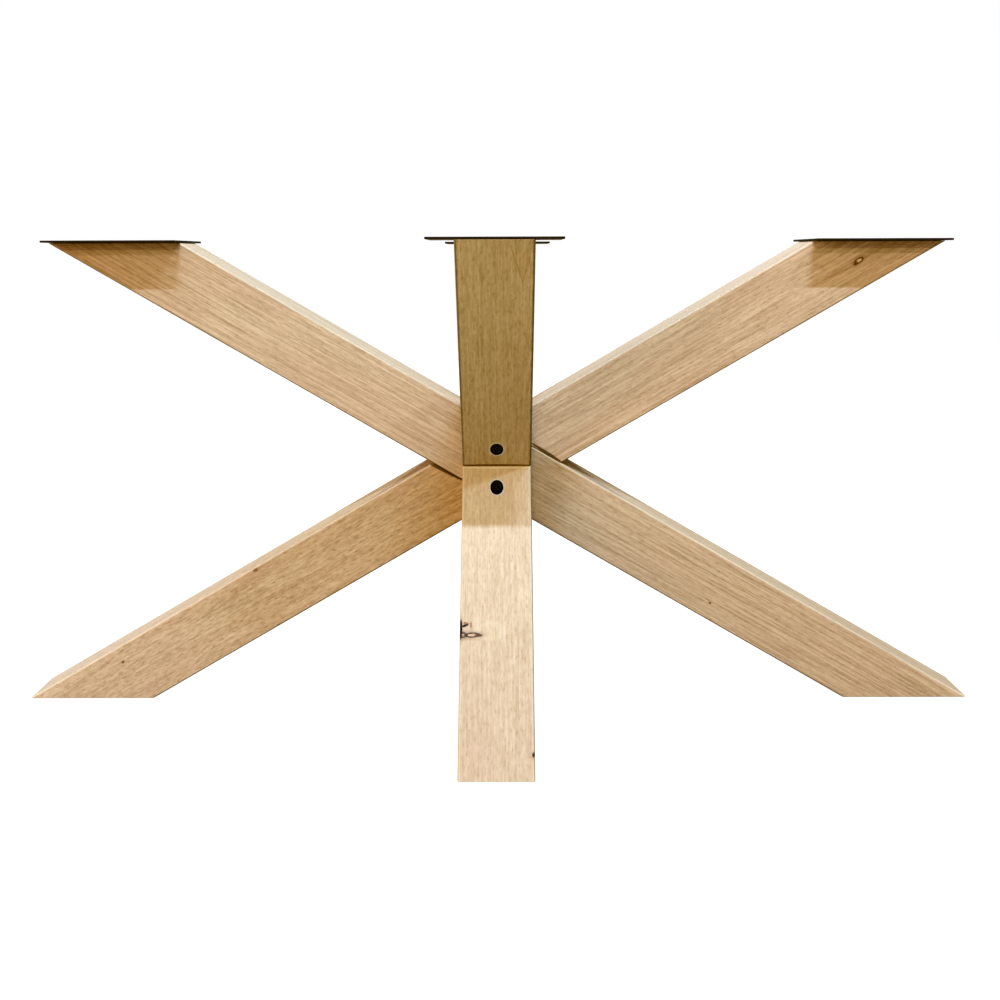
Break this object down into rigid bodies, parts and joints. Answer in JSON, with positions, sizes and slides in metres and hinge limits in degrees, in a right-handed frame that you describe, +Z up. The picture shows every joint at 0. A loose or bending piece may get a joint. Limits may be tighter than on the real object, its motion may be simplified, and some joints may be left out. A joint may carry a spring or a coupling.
{
  "type": "spider table base",
  "caption": "Wooden spider table base: crossed beams with leaning arms bolted to the front and back of the crossing, and flat steel plates on the raised ends for the table top.",
  "frame": {"origin": "on the floor under the crossing, at the middle of the four feet", "axes": "+Z up, -Y the front that the picture shows, +X along the crossed frame to its right"},
  "size_m": [1.4988, 0.799, 0.72],
  "materials": {
    "beech": "planed and sanded pale beech, bare or with a clear matt oil",
    "dowel": "pressed beech dowel",
    "plate_steel": "thin black coating on flat steel plate",
    "bolt_steel": "black oxide",
    "screw_steel": "black oxide"
  },
  "bodies": {
    "root": {"through_beam": "beech", "upper_half_beam": "beech", "lower_half_beam": "beech", "front_upper_arm": "beech", "front_lower_arm": "beech", "rear_upper_arm": "beech", "rear_lower_arm": "beech", "left_top_plate": "plate_steel", "right_top_plate": "plate_steel", "front_top_plate": "plate_steel", "rear_top_plate": "plate_steel", "upper_bolt": "bolt_steel", "upper_bolt_front_washer": "bolt_steel", "upper_bolt_rear_washer": "bolt_steel", "upper_bolt_nut": "bolt_steel", "lower_bolt": "bolt_steel", "lower_bolt_front_washer": "bolt_steel", "lower_bolt_rear_washer": "bolt_steel", "lower_bolt_nut": "bolt_steel", "upper_cross_dowel_front": "dowel", "upper_cross_dowel_rear": "dowel", "lower_cross_dowel_front": "dowel", "lower_cross_dowel_rear": "dowel", "front_seam_dowel_left": "dowel", "front_seam_dowel_right": "dowel", "rear_seam_dowel_left": "dowel", "rear_seam_dowel_right": "dowel", "left_plate_screw_1": "screw_steel", "left_plate_screw_2": "screw_steel", "left_plate_screw_3": "screw_steel", "left_plate_screw_4": "screw_steel", "right_plate_screw_1": "screw_steel", "right_plate_screw_2": "screw_steel", "right_plate_screw_3": "screw_steel", "right_plate_screw_4": "screw_steel", "front_plate_screw_1": "screw_steel", "front_plate_screw_2": "screw_steel", "front_plate_screw_3": "screw_steel", "front_plate_screw_4": "screw_steel", "rear_plate_screw_1": "screw_steel", "rear_plate_screw_2": "screw_steel", "rear_plate_screw_3": "screw_steel", "rear_plate_screw_4": "screw_steel"}
  },
  "joints": []
}
